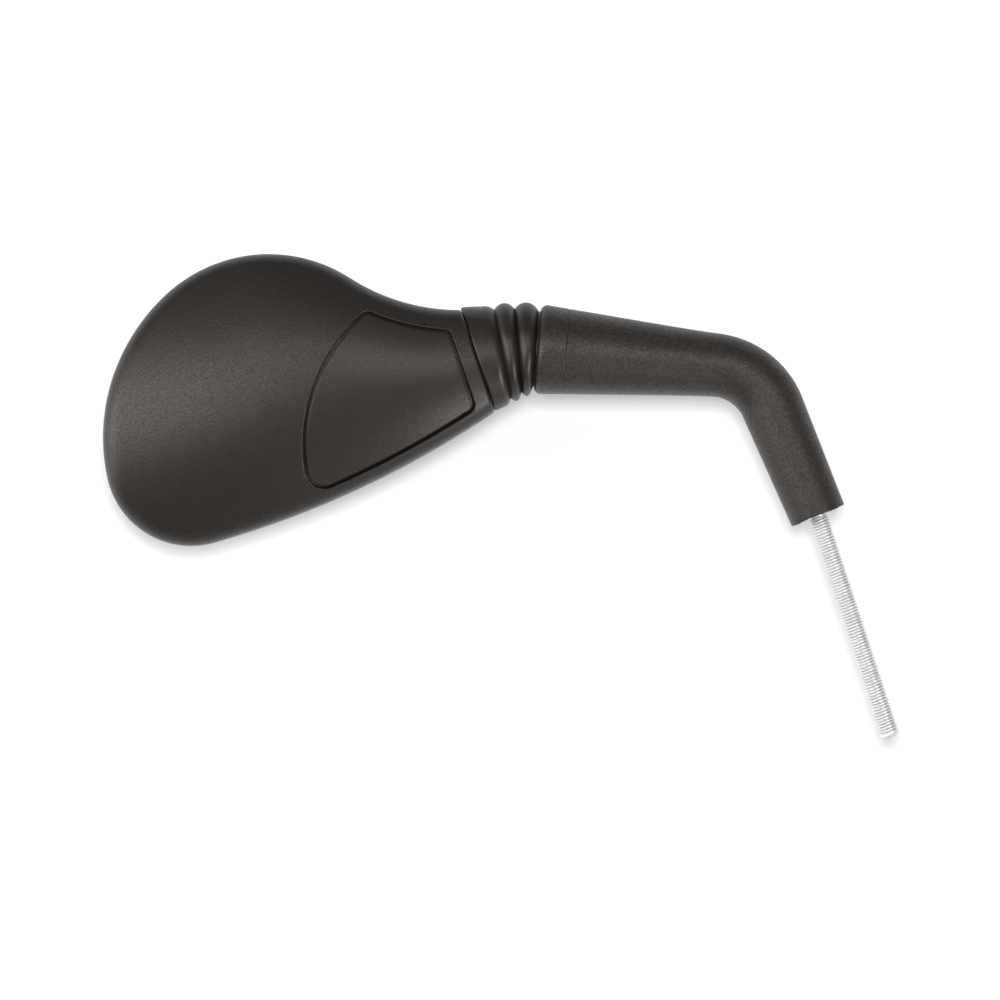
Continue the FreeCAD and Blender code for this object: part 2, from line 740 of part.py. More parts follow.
upper_screw, lower_screw = screw_places()
PIECES = {
    "stem_rod": stem_rod(),
    "joint_ball": joint_ball(),
    "arm_sleeve": arm_sleeve(),
    "bellows_boot": bellows_boot(),
    "seat_ring": in_part(seat_ring()),
    "pressure_pad": in_part(pressure_pad()),
    "thrust_washer": in_part(thrust_washer()),
    "friction_spring": in_part(friction_spring()),
    "spring_plug": in_part(spring_plug()),
    "ball_socket": in_part(ball_socket()),
    "socket_screw_upper": in_part(socket_screw(upper_screw)),
    "socket_screw_lower": in_part(socket_screw(lower_screw)),
    "screw_washer_upper": in_part(screw_washer(upper_screw)),
    "screw_washer_lower": in_part(screw_washer(lower_screw)),
    "mirror_housing": in_part(mirror_housing()),
    "access_cover": in_part(access_cover()),
    "glass_pad": in_part(glass_pad()),
    "mirror_glass": in_part(mirror_glass()),
}

os.makedirs("parts", exist_ok=True)
for name, shape in PIECES.items():
    shape.exportStep("parts/" + name + ".step")
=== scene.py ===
import json
import math

import bmesh
import bpy
import numpy as np
from mathutils import Matrix, Vector


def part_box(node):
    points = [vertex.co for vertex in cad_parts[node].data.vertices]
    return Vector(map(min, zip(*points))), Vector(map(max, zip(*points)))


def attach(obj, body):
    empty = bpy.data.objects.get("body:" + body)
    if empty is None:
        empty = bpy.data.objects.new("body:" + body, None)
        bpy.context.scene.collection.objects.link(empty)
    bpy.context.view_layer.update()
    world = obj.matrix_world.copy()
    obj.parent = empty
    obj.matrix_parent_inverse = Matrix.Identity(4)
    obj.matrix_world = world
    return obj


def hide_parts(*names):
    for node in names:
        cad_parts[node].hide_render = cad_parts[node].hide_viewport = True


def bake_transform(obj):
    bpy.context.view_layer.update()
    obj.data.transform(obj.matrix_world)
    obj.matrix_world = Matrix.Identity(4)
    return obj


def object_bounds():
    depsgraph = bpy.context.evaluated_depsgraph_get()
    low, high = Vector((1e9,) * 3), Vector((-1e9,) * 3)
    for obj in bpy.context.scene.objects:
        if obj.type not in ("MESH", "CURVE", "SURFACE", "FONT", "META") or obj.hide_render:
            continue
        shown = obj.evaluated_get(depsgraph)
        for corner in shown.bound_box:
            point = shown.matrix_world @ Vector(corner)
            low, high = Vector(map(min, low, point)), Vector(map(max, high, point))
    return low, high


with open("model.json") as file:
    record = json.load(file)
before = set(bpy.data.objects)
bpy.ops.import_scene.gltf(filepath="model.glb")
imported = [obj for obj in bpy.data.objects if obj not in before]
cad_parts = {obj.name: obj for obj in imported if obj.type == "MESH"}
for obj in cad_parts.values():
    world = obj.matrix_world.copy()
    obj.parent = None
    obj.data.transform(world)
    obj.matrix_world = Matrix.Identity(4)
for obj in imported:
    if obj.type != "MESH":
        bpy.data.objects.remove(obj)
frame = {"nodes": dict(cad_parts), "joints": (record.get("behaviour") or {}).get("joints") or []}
cad_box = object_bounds()


# Stem
# The rod that screws into the handlebar: zinc-plated steel with a rolled M8 thread below the arm.
# Above it a thinner plain shank runs bent through the sleeve and ends in a spigot inside the ball.

ball_centre = np.array(frame["joints"][0]["pos_m"])
arm_rise = math.radians(23.4)
arm_way = np.array([-math.cos(arm_rise), 0.0, math.sin(arm_rise)])
right_way = np.array([1.0, 0.0, 0.0])
side_way = np.array([0.0, 1.0, 0.0])
up_way = np.array([0.0, 0.0, 1.0])

thread_r = 0.0040
thread_pitch = 0.00125
thread_depth = 0.00080
thread_chamfer = 0.0010
thread_run_in = 0.0015
thread_run_out = 0.0010
ridge_steepness = 1.35
ridge_root = 0.12
shank_r = 0.0036
spigot_r = 0.0025
spigot_end = 0.0030
shoulder_from_ball = 0.00722
rod_bend_r = 0.026
stem_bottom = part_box("stem_rod")[0].z

ring_points = 96
rows_per_pitch = 10
straight_rows = 6
bend_rows = 24
weld_gap = 1e-6
shortest_edge = 1e-7

# Painted shade in the thread: the zinc runs from a darker tone in each root to its own tone on the ridges.
zinc_painted_root_shade = (0.56, 0.56, 0.565)
zinc_on_ridges = (0.9, 0.895, 0.89)


def ovals(centre, across, half_across, half_side):
    """Rows of points round a line: centre + across * half_across * cos(a) + Y * half_side * sin(a)."""
    turn = np.linspace(0.0, 2.0 * math.pi, ring_points, endpoint=False)
    out = across[:, None, :] * (half_across[:, None] * np.cos(turn))[:, :, None]
    beside = side_way * (half_side[:, None] * np.sin(turn))[:, :, None]
    return centre[:, None, :] + out + beside


def rings(line, outward, radius):
    """Round rows about the points of a line; one direction or radius may serve for all of them."""
    radius = np.broadcast_to(radius, len(line))
    return ovals(line, np.broadcast_to(outward, line.shape), radius, radius)


def grid_faces(rows, columns, first, ring_of_rows):
    """Quads between neighbours in a grid: columns close on themselves, rows only if asked."""
    row = np.arange(rows if ring_of_rows else rows - 1)[:, None]
    column = np.arange(columns)[None, :]
    next_row = (row + 1) % rows
    next_column = (column + 1) % columns
    corners = (row * columns + column, row * columns + next_column,
               next_row * columns + next_column, next_row * columns + column)
    return first + np.stack(corners, axis=-1).reshape(-1, 4)


def add_object(name, data):
    """A new object in the scene that shows the mesh, lamp or camera."""
    thing = bpy.data.objects.new(name, data)
    bpy.context.scene.collection.objects.link(thing)
    return thing


def build_piece(name, grids, ring_of_rows=False, first_faces=None, sharp=35.0):
    """One object from grids of points: welded, faces outwards, smooth but for corners over an angle.

    The quads in first_faces, where given, take the place of those between the first grid's neighbours.
    """
    points = np.concatenate([grid.reshape(-1, 3) for grid in grids])
    faces = []
    first = 0
    for index, grid in enumerate(grids):
        rows, columns = grid.shape[:2]
        if index > 0 or first_faces is None:
            faces.append(grid_faces(rows, columns, first, ring_of_rows))
        first += rows * columns
    if first_faces is not None:
        faces.append(first_faces)
    mesh = bpy.data.meshes.new(name)
    mesh.from_pydata(points.tolist(), [], np.concatenate(faces).tolist())
    work = bmesh.new()
    work.from_mesh(mesh)
    bmesh.ops.remove_doubles(work, verts=work.verts, dist=weld_gap)
    bmesh.ops.dissolve_degenerate(work, edges=work.edges, dist=shortest_edge)
    bmesh.ops.recalc_face_normals(work, faces=work.faces)
    work.to_mesh(mesh)
    work.free()
    mesh.shade_smooth()
    mesh.set_sharp_from_angle(angle=math.radians(sharp))
    return add_object(name, mesh)


def thread_grid():
    """A screw surface: each row is a helix, height = row height + pitch * share of the turn.

    The radius follows the ridge's profile over a pitch, and the groove fades out at both ends. The last
    column meets the first one a whole pitch further up.
    """
    length = -stem_bottom - thread_chamfer
    rows = int(math.ceil(length / thread_pitch + 1.0)) * rows_per_pitch + 1
    start = (np.arange(rows) / rows_per_pitch - 1.0) * thread_pitch
    share = np.arange(ring_points) / ring_points
    height = np.clip(start[:, None] + thread_pitch * share, 0.0, length)
    phase = (np.arange(rows) % rows_per_pitch) / rows_per_pitch
    ridge = np.clip(np.abs(phase * 2.0 - 1.0) * ridge_steepness - ridge_root, 0.0, 1.0)
    run_in = np.clip(height / thread_run_in, 0.0, 1.0)
    run_out = np.clip((length - height) / thread_run_out, 0.0, 1.0)
    radius = thread_r - thread_depth * (1.0 - ridge[:, None]) * (run_in * run_out)
    turn = 2.0 * math.pi * share
    grid = np.stack([radius * np.cos(turn), radius * np.sin(turn), height - length], axis=-1)
    row = np.arange(rows - rows_per_pitch - 1)[:, None]
    column = np.arange(ring_points)[None, :]
    wraps = rows_per_pitch * (column == ring_points - 1)
    beside = (column + 1) % ring_points
    corners = (row * ring_points + column, (row + wraps) * ring_points + beside,
               (row + wraps + 1) * ring_points + beside, (row + 1) * ring_points + column)
    return grid, np.stack(corners, axis=-1).reshape(-1, 4)


def bent_line(start, end_from_ball):
    """Points and outward directions up the stem's axis, round one bend and along the arm's axis.

    The bend is an arc that touches both axes, and the line ends at a distance from the ball.
    """
    corner = up_way * (ball_centre[2] + ball_centre[0] * math.tan(arm_rise))
    turn = math.pi / 2.0 - arm_rise
    reach = rod_bend_r * math.tan(turn / 2.0)
    upright = np.linspace(start, corner[2] - reach, straight_rows)[:, None] * up_way
    angle = np.linspace(0.0, turn, bend_rows)[1:]
    out = np.stack([np.cos(angle), np.zeros_like(angle), np.sin(angle)], axis=-1)
    hub = corner + np.array([-rod_bend_r, 0.0, -reach])
    along = np.linalg.norm(ball_centre - corner) - reach - end_from_ball
    straight = corner + arm_way * (reach + np.linspace(0.0, along, straight_rows)[1:, None])
    line = np.concatenate([upright, hub + out * rod_bend_r, straight])
    outward = np.concatenate([
        np.tile(right_way, (len(upright), 1)), out, np.tile(out[-1], (len(straight), 1))])
    return line, outward


def stem_grids():
    """The tip, the shank and the spigot as rings along the bent line, to be welded to the thread."""
    tip_line = (stem_bottom + np.array([0.0, 0.0, thread_chamfer]))[:, None] * up_way
    tip = rings(tip_line, right_way, np.array([0.0, thread_r - thread_chamfer, thread_r]))
    line, outward = bent_line(start=0.0, end_from_ball=shoulder_from_ball)
    spigot = ball_centre + arm_way * np.array([-shoulder_from_ball, spigot_end, spigot_end])[:, None]
    line = np.concatenate([line[:1], line, spigot])
    outward = np.concatenate([outward[:1], outward, np.tile(outward[-1], (len(spigot), 1))])
    radius = np.full(len(line), shank_r)
    radius[0] = thread_r
    radius[-3:] = (spigot_r, spigot_r, 0.0)
    return [tip, rings(line, outward, radius)]


def new_material(name, color, roughness, metallic=0.0, specular=0.5, shine=(1.0, 1.0, 1.0)):
    """A material, its node tree and its shader with the plain values, over which patterns are linked."""
    material = bpy.data.materials.new(name)
    material.use_nodes = True
    tree = material.node_tree
    shader = tree.nodes["Principled BSDF"]
    shader.inputs["Base Color"].default_value = (*color, 1.0)
    shader.inputs["Roughness"].default_value = roughness
    shader.inputs["Metallic"].default_value = metallic
    shader.inputs["Specular IOR Level"].default_value = specular
    shader.inputs["Specular Tint"].default_value = (*shine, 1.0)
    return material, tree, shader


def pattern(tree, scale, detail=2.0, stretch=(1.0, 1.0, 1.0), rough=0.5):
    """Noise on the piece's own coordinates, scale in features per metre."""
    place = tree.nodes.new("ShaderNodeTexCoord")
    mapping = tree.nodes.new("ShaderNodeMapping")
    noise = tree.nodes.new("ShaderNodeTexNoise")
    mapping.inputs["Scale"].default_value = stretch
    noise.inputs["Scale"].default_value = scale
    noise.inputs["Detail"].default_value = detail
    noise.inputs["Roughness"].default_value = rough
    tree.links.new(place.outputs["Object"], mapping.inputs["Vector"])
    tree.links.new(mapping.outputs["Vector"], noise.inputs["Vector"])
    return noise.outputs["Fac"]


def between(tree, source, low, high, start=0.3, end=0.7):
    """The source's range from start to end carried over to low and high."""
    span = tree.nodes.new("ShaderNodeMapRange")
    span.inputs["From Min"].default_value = start
    span.inputs["From Max"].default_value = end
    span.inputs["To Min"].default_value = low
    span.inputs["To Max"].default_value = high
    tree.links.new(source, span.inputs["Value"])
    return span.outputs["Result"]


def shades(tree, source, dark, light, start=0.3, end=0.7):
    """A colour that runs from dark to light as the source goes from start to end."""
    ramp = tree.nodes.new("ShaderNodeValToRGB")
    ramp.color_ramp.elements[0].position = start
    ramp.color_ramp.elements[1].position = end
    ramp.color_ramp.elements[0].color = (*dark, 1.0)
    ramp.color_ramp.elements[1].color = (*light, 1.0)
    tree.links.new(source, ramp.inputs["Fac"])
    return ramp.outputs["Color"]


def reckoned(tree, operation, first, second):
    """What a math node makes of two sources, such as their sum or the greater of them."""
    node = tree.nodes.new("ShaderNodeMath")
    node.operation = operation
    tree.links.new(first, node.inputs[0])
    tree.links.new(second, node.inputs[1])
    return node.outputs["Value"]


def bumped(tree, shader, source, height, strength=1.0, below=None):
    """A bump of the given height in metres from the source, on top of another bump if there is one."""
    bump = tree.nodes.new("ShaderNodeBump")
    bump.inputs["Strength"].default_value = strength
    bump.inputs["Distance"].default_value = height
    tree.links.new(source, bump.inputs["Height"])
    if below is not None:
        tree.links.new(below.outputs["Normal"], bump.inputs["Normal"])
    tree.links.new(bump.outputs["Normal"], shader.inputs["Normal"])
    return bump


def zinc_plating():
    """Bright zinc with fine drawing lines, cloudy in patches, with painted shade in the thread's roots.

    The painted shade follows the distance from the stem's axis, which is less in a root than on a ridge.
    """
    material, tree, shader = new_material(
        "zinc_plating", color=(0.7, 0.7, 0.7), roughness=0.4, metallic=0.6)
    place = tree.nodes.new("ShaderNodeTexCoord")
    level = tree.nodes.new("ShaderNodeVectorMath")
    level.operation = "MULTIPLY"
    level.inputs[1].default_value = (1.0, 1.0, 0.0)
    off_axis = tree.nodes.new("ShaderNodeVectorMath")
    off_axis.operation = "LENGTH"
    tree.links.new(place.outputs["Object"], level.inputs[0])
    tree.links.new(level.outputs["Vector"], off_axis.inputs[0])
    # Painted shade: the colour darkens towards the thread's roots as the distance from the axis falls.
    root_r = thread_r - thread_depth
    ridge = between(tree, off_axis.outputs["Value"], low=0.0, high=0.8, start=root_r, end=thread_r)
    cloud = pattern(tree, scale=260.0, detail=4.0)
    bright = reckoned(tree, "ADD", ridge, between(tree, cloud, low=0.0, high=0.2))
    color = shades(tree, bright, zinc_painted_root_shade, zinc_on_ridges, start=0.0, end=1.0)
    tree.links.new(color, shader.inputs["Base Color"])
    tree.links.new(between(tree, cloud, low=0.28, high=0.42), shader.inputs["Roughness"])
    lines = pattern(tree, scale=900.0, detail=3.0, stretch=(1.0, 1.0, 0.15))
    bumped(tree, shader, lines, height=0.00002, strength=0.4)
    return material


thread, thread_faces = thread_grid()
stem = build_piece("threaded_stem", [thread] + stem_grids(), first_faces=thread_faces, sharp=50.0)
stem.data.materials.append(zinc_plating())
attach(stem, "arm")
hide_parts("stem_rod")


# Ball joint inside the boot
# A hard steel ball on the rod, two nylon seats round it, and a washer, a coil spring and a plug in a
# cast barrel. Two screws with washers hold the barrel's ears to bosses in the housing.

ball_grey = (0.68, 0.68, 0.69)
spring_grey = (0.34, 0.34, 0.36)
screw_grey = (0.7, 0.69, 0.64)
mark_shade = 0.8
alloy_tones = ((0.4, 0.4, 0.41), (0.56, 0.56, 0.56))
nylon_tones = ((0.66, 0.64, 0.56), (0.76, 0.74, 0.67))
nylon_light_depth = (0.002, 0.0015, 0.001)


def tone_and_gloss(tree, shader, source, tones, gloss, start=0.3, end=0.7):
    """Lets one source carry the colour over two tones and the roughness over two values."""
    tree.links.new(shades(tree, source, *tones, start, end), shader.inputs["Base Color"])
    tree.links.new(between(tree, source, *gloss, start, end), shader.inputs["Roughness"])


def turned_steel(name, color, scale):
    """Plain machined steel: faint turning marks, colour and gloss that change a little over the piece."""
    material, tree, shader = new_material(name, color, roughness=0.35, metallic=1.0)
    marks = pattern(tree, scale, detail=5.0)
    darker = tuple(mark_shade * c for c in color)
    tone_and_gloss(tree, shader, marks, (darker, color), gloss=(0.25, 0.45))
    bumped(tree, shader, marks, height=0.00002, strength=0.3)
    return material


def cast_alloy():
    """Die-cast alloy: grey, dull, with a fine sandy skin."""
    material, tree, shader = new_material(
        "cast_alloy", color=(0.5, 0.5, 0.5), roughness=0.5, metallic=1.0)
    sand = pattern(tree, scale=1400.0, detail=4.0)
    tone_and_gloss(tree, shader, sand, alloy_tones, gloss=(0.42, 0.6))
    bumped(tree, shader, sand, height=0.00008, strength=0.5)
    return material


def natural_nylon():
    """Uncoloured nylon: off-white, slightly waxy, light passes a little way in."""
    material, tree, shader = new_material("natural_nylon", color=(0.72, 0.70, 0.63), roughness=0.4)
    shader.inputs["Subsurface Weight"].default_value = 0.15
    shader.inputs["Subsurface Radius"].default_value = nylon_light_depth
    cloud = pattern(tree, scale=300.0, detail=3.0)
    tone_and_gloss(tree, shader, cloud, nylon_tones, gloss=(0.34, 0.48))
    bumped(tree, shader, cloud, height=0.00003, strength=0.3)
    return material


def dress(material, *nodes):
    """Gives the CAD nodes this material in place of their own."""
    for node in nodes:
        slots = frame["nodes"][node].data.materials
        slots.clear()
        slots.append(material)


dress(turned_steel("ball_steel", ball_grey, scale=700.0), "joint_ball", "thrust_washer", "spring_plug")
dress(turned_steel("spring_wire", spring_grey, scale=1200.0), "friction_spring")
dress(turned_steel("screw_zinc", screw_grey, scale=900.0), "socket_screw_upper", "socket_screw_lower",
      "screw_washer_upper", "screw_washer_lower")
dress(cast_alloy(), "ball_socket")
dress(natural_nylon(), "seat_ring", "pressure_pad")


# Arm sleeve
# A soft black sleeve moulded over the bent rod, with the mould's fine grain all over it.
# It widens towards the head, where a recess takes the boot's tail; the lower end is trimmed by hand.

leg_lean = math.radians(4.5)
leg_way = np.array([-math.sin(leg_lean), 0.0, math.cos(leg_lean)])
leg_length = 0.067
arm_length = 0.0927
arm_end = leg_way * leg_length + arm_way * arm_length
elbow_r = 0.029
elbow_turn = math.pi / 2.0 - arm_rise - leg_lean
elbow_reach = elbow_r * math.tan(elbow_turn / 2.0)
elbow_start = leg_length - elbow_reach
elbow_stop = elbow_start + elbow_r * elbow_turn
sleeve_start = 0.0002
sleeve_stop = elbow_stop + arm_length - elbow_reach
sleeve_tip_r = 0.01195
sleeve_elbow_r = 0.0131
sleeve_end_r = 0.0190
sleeve_tip_round = 0.0004
sleeve_end_round = 0.0030
taper_softness = 0.006
bore_gap = 0.00002
recess_r = 0.01597
recess_depth = 0.00702
ball_to_arm = 0.0074
witness_from_end = 0.0122
witness_depth = 0.0003
witness_half = 0.00022
witness_reach = 0.0008
trim_cut = 0.00022
trim_reach = 0.002
# The waves of the trimmed edge: how many go round, their share of the cut and their shift.
trim_waves = ((3.0, 1.0, 0.6), (8.0, 0.6, 0.0), (19.0, 0.5, 1.0))

sleeve_rows = 180
corner_rows = 8
witness_rows = 17

sleeve_tones = ((0.009, 0.0077, 0.0068), (0.031, 0.0267, 0.0233))
sleeve_gloss = (0.5, 0.38)
warm_shine = (1.0, 0.92, 0.86)


def square_to(way):
    """The direction in the XZ plane at right angles to the given one."""
    return np.array([way[2], 0.0, -way[0]])


def sleeve_line(distance):
    """Point and outward direction at each distance along the sleeve: straight, an arc, straight."""
    lean = leg_lean + np.clip((distance - elbow_start) / elbow_r, 0.0, elbow_turn)
    out = np.stack([np.cos(lean), np.zeros_like(lean), np.sin(lean)], axis=-1)
    hub = leg_way * elbow_start - square_to(leg_way) * elbow_r
    point = hub + out * elbow_r
    point = point + leg_way * np.minimum(distance - elbow_start, 0.0)[:, None]
    point = point + arm_way * np.maximum(distance - elbow_stop, 0.0)[:, None]
    return point, out


def sleeve_radius(distance, cut):
    """Two tapers that meet softly where the elbow ends, less a cut and the dip of the witness line."""
    up_leg = np.clip((distance - sleeve_start) / (elbow_start - sleeve_start), 0.0, 1.0)
    lower = sleeve_tip_r + (sleeve_elbow_r - sleeve_tip_r) * up_leg
    past_elbow = np.logaddexp(0.0, (distance - elbow_stop) / taper_softness) * taper_softness
    slope = (sleeve_end_r - sleeve_elbow_r) / (sleeve_stop - elbow_stop)
    from_witness = (distance - sleeve_stop + witness_from_end) / witness_half
    return lower + slope * past_elbow - cut - witness_depth * np.exp(-from_witness ** 2)


def sleeve_rings():
    """Closed rings: up the outside with both ends rounded, into the recess, and back down the bore.

    Near the lower end a few waves round the rings leave the edge ragged.
    """
    quarter = np.linspace(0.0, math.pi / 2.0, corner_rows)
    tip = sleeve_start + sleeve_tip_round * (1.0 - np.cos(quarter))
    tip_cut = sleeve_tip_round * (1.0 - np.sin(quarter))
    end = sleeve_stop - sleeve_end_round * (1.0 - np.sin(quarter))
    end_cut = sleeve_end_round * (1.0 - np.cos(quarter))
    body = np.linspace(sleeve_start + sleeve_tip_round, sleeve_stop - sleeve_end_round, sleeve_rows)[1:-1]
    witness = sleeve_stop - witness_from_end + np.linspace(-witness_reach, witness_reach, witness_rows)
    body = np.sort(np.concatenate([body, witness]))
    distance = np.concatenate([tip, body, end])
    cut = np.concatenate([tip_cut, np.zeros_like(body), end_cut])
    centre, out = sleeve_line(distance)
    outside = rings(centre, out, sleeve_radius(distance, cut))
    turn = np.linspace(0.0, 2.0 * math.pi, ring_points, endpoint=False)
    ragged = trim_cut * sum(share * np.sin(count * turn + shift) for count, share, shift in trim_waves)
    near_tip = np.clip(1.0 - (distance - sleeve_start) / trim_reach, 0.0, 1.0)
    outside = outside + leg_way * (near_tip[:, None] * ragged)[:, :, None]
    bore, bore_out = bent_line(leg_way[2] * sleeve_start, ball_to_arm + recess_depth)
    inside = rings(bore, bore_out, shank_r + bore_gap)[::-1]
    wall = arm_end - arm_way * np.array([0.0, recess_depth])[:, None]
    recess = rings(wall, square_to(arm_way), recess_r)
    return np.concatenate([outside, recess, inside])


def grained_black(name, tones, gloss, grain, height):
    """Black plastic or soft moulding with a spark-eroded grain: fine dark pits over low waves."""
    material, tree, shader = new_material(name, color=tones[1], roughness=gloss[1], shine=warm_shine)
    cloud = pattern(tree, scale=55.0, detail=3.0)
    pits = pattern(tree, scale=grain, rough=0.6)
    tone_and_gloss(tree, shader, pits, tones, gloss, start=0.38, end=0.62)
    waves = bumped(tree, shader, cloud, height=0.0003, strength=0.1)
    bumped(tree, shader, pits, height, below=waves)
    return material


sleeve = build_piece("soft_arm_sleeve", [sleeve_rings()], ring_of_rows=True)
sleeve.data.materials.append(
    grained_black("soft_black", sleeve_tones, sleeve_gloss, grain=1000.0, height=0.00014))
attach(sleeve, "arm")
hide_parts("arm_sleeve")


# Boot
# A black rubber bellows that keeps dirt out of the ball joint: a wedge-shaped collar at the neck, two
# folds and a tail in the sleeve's recess. The real one bends with the joint; it is built in three lengths.

neck_start = 0.0186
neck_half = 0.0225
neck_front = 0.018
neck_back = 0.0192
boot_gap = 0.00005
boot_wall = 0.0015
boot_flange = 0.0019
flange_hole_r = 0.01227
boot_tail = 0.004
tail_step = 0.0015
tail_r = 0.01592
collar_step = 0.0016
collar_edge = 0.0010
millimetre = 0.001

# Places along the boot run from 0 at the neck to 1 at the arm.
collar_place = 0.2
edge_place = 0.04
flange_place = 0.08
fold_places = np.array([0.0, collar_place, 0.325, 0.445, 0.575, 0.75, 0.96, 1.0])
fold_depths = np.array([0.2, 0.2, 2.4, 0.2, 2.9, 0.2, 3.3, 3.08]) * millimetre
fold_bulge = 2.2
first_cut = 0.15
second_cut = fold_places[4]
boot_rows = 420

boot_tones = ((0.008, 0.0069, 0.006), (0.015, 0.0129, 0.0113))


def fold_depth(place):
    """How far inside the taper the boot lies: a power curve, round at each fold and sharp at each valley."""
    index = np.clip(np.searchsorted(fold_places, place, side="right") - 1, 0, len(fold_places) - 2)
    t = np.clip((place - fold_places[index]) / (fold_places[index + 1] - fold_places[index]), 0.0, 1.0)
    before = fold_depths[index]
    after = fold_depths[index + 1]
    rising = after + (before - after) * (1.0 - t) ** fold_bulge
    falling = before + (after - before) * t ** fold_bulge
    rounded = np.clip(1.0 - place / edge_place, 0.0, 1.0)
    return np.where(before > after, rising, falling) + collar_edge * (1.0 - np.sqrt(1.0 - rounded ** 2))


def boot_rings(place, inset):
    """Rings that fan from the neck's axis to the arm's, their tilt in step with their place.

    Their middles lie on a curve drawn from the neck to the arm's end by the ball; their halves run
    evenly from the neck's to the sleeve's, less the folds' depth.
    """
    neck = ball_centre - right_way * (neck_start - boot_gap)
    p = place[:, None]
    centre = neck * (1.0 - p) ** 2 + ball_centre * (2.0 * p * (1.0 - p)) + arm_end * p ** 2
    centre = centre + side_way * ((neck_front - neck_back) / 2.0 * (1.0 - p))
    tilt = arm_rise * place
    across = np.stack([np.sin(tilt), np.zeros_like(tilt), np.cos(tilt)], axis=-1)
    depth = fold_depth(place) + inset
    lift = collar_step / 2.0 * np.clip(1.0 - place / collar_place, 0.0, 1.0)
    centre = centre + across * lift[:, None]
    half_across = neck_half + (sleeve_end_r - neck_half) * place - depth + lift
    half_side = (neck_front + neck_back) / 2.0 * (1.0 - place) + sleeve_end_r * place - depth
    return ovals(centre, across, half_across, half_side)


def boot_length(name, first, last, at_neck=False, at_arm=False):
    """One closed length of the boot between two places, with the flange or the tail where the boot ends."""
    place = np.linspace(first, last, int(boot_rows * (last - first)) + 2)
    outside = boot_rings(place, inset=0.0)
    inside = boot_rings(place, inset=boot_wall)
    if at_neck:
        from_ball = neck_start - boot_gap - np.array([0.0, boot_flange])
        hole = rings(ball_centre - right_way * from_ball[:, None], up_way, flange_hole_r)
        behind_flange = boot_rings(np.zeros(1), inset=boot_wall) + right_way * boot_flange
        inside = np.concatenate([hole, behind_flange, inside[place > flange_place]])
    if at_arm:
        tail_line = arm_end - arm_way * np.array([tail_step, boot_tail])[:, None]
        outside = np.concatenate([outside, rings(tail_line, square_to(arm_way), tail_r)])
        inside = np.concatenate([inside, rings(tail_line, square_to(arm_way), tail_r - boot_wall)])
    return build_piece(name, [np.concatenate([outside, inside[::-1]])], ring_of_rows=True, sharp=50.0)


def boot_rubber():
    """Smooth black rubber with a dull shine, cloudy with bloom and with faint flow lines."""
    material, tree, shader = new_material(
        "boot_rubber", color=(0.026, 0.024, 0.023), roughness=0.4, shine=warm_shine)
    cloud = pattern(tree, scale=120.0, detail=4.0)
    fine = pattern(tree, scale=2600.0)
    tone_and_gloss(tree, shader, cloud, boot_tones, gloss=(0.36, 0.48))
    flow = bumped(tree, shader, cloud, height=0.0003, strength=0.15)
    bumped(tree, shader, fine, height=0.00005, strength=0.4, below=flow)
    return material


rubber = boot_rubber()
collar = boot_length("boot_collar", 0.0, first_cut, at_neck=True)
middle_fold = boot_length("boot_middle_fold", first_cut, second_cut)
tail_fold = boot_length("boot_tail_fold", second_cut, 1.0, at_arm=True)
for length in (collar, middle_fold, tail_fold):
    length.data.materials.append(rubber)
    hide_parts("bellows_boot")
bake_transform(tail_fold)
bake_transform(middle_fold)
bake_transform(collar)


# Housing and access cover
# The head's shell is moulded in black plastic with a fine spark-eroded grain. The cover over the
# screws is a separate panel, clipped in flush, and a shade smoother than the shell around it.

housing_tones = ((0.004, 0.0034, 0.003), (0.016, 0.0138, 0.012))
housing_gloss = (0.48, 0.32)
cover_tones = ((0.007, 0.006, 0.0053), (0.017, 0.0146, 0.0128))
cover_gloss = (0.43, 0.33)

housing_grain = grained_black("housing_grain", housing_tones, housing_gloss, grain=1400.0, height=0.00014)
cover_grain = grained_black("cover_grain", cover_tones, cover_gloss, grain=1600.0, height=0.00008)
dress(housing_grain, "mirror_housing")
dress(cover_grain, "access_cover")


# Glass and pad
# A convex glass, silvered on its back, held behind the housing's lip; a foam pad presses it forward.
# The glass is laid out from its solid's outline as one even sphere, so that reflections run unbroken.

glass_convex_r = 1.2
glass_t = 0.003
rim_least_reach = 0.03
rim_most_slope = 0.5
glass_rows = 25
glass_columns = 4 * ring_points

silver_tones = ((0.82, 0.84, 0.84), (0.88, 0.9, 0.9))
foam_tones = ((0.06, 0.06, 0.06), (0.16, 0.16, 0.16))


def glass_grid():
    """Rows from the middle of the glass to its rim, and back to the middle on its other side.

    Each side is a sphere's cap: y = top - (r - root(r^2 - reach^2)), out to the solid's own rim.
    """
    solid = frame["nodes"]["mirror_glass"].data
    points = np.array([vertex.co for vertex in solid.vertices])
    top = points[np.argmax(points[:, 1])]
    on_rim = {v for face in solid.polygons if abs(face.normal.y) < rim_most_slope for v in face.vertices}
    rim = points[sorted(on_rim)] - top
    out = np.hypot(rim[:, 0], rim[:, 2])
    rim = rim[out > rim_least_reach]
    out = out[out > rim_least_reach]
    turn = np.linspace(0.0, 2.0 * math.pi, glass_columns, endpoint=False)
    edge = np.interp(turn, np.arctan2(rim[:, 2], rim[:, 0]), out, period=2.0 * math.pi)
    reach = np.linspace(0.0, 1.0, glass_rows)[:, None] * edge
    caps = []
    for depth in (0.0, glass_t):
        r = glass_convex_r - depth
        fall = depth + r - np.sqrt(r ** 2 - reach ** 2)
        caps.append(top + np.stack([reach * np.cos(turn), -fall, reach * np.sin(turn)], axis=-1))
    return np.concatenate([caps[0], caps[1][::-1]])


def silvered_glass():
    """A mirror: clean silver with the faintest haze in places."""
    material, tree, shader = new_material(
        "silvered_glass", color=(0.86, 0.88, 0.88), roughness=0.02, metallic=1.0)
    haze = pattern(tree, scale=18.0, detail=5.0)
    tone_and_gloss(tree, shader, haze, silver_tones, gloss=(0.012, 0.05))
    return material


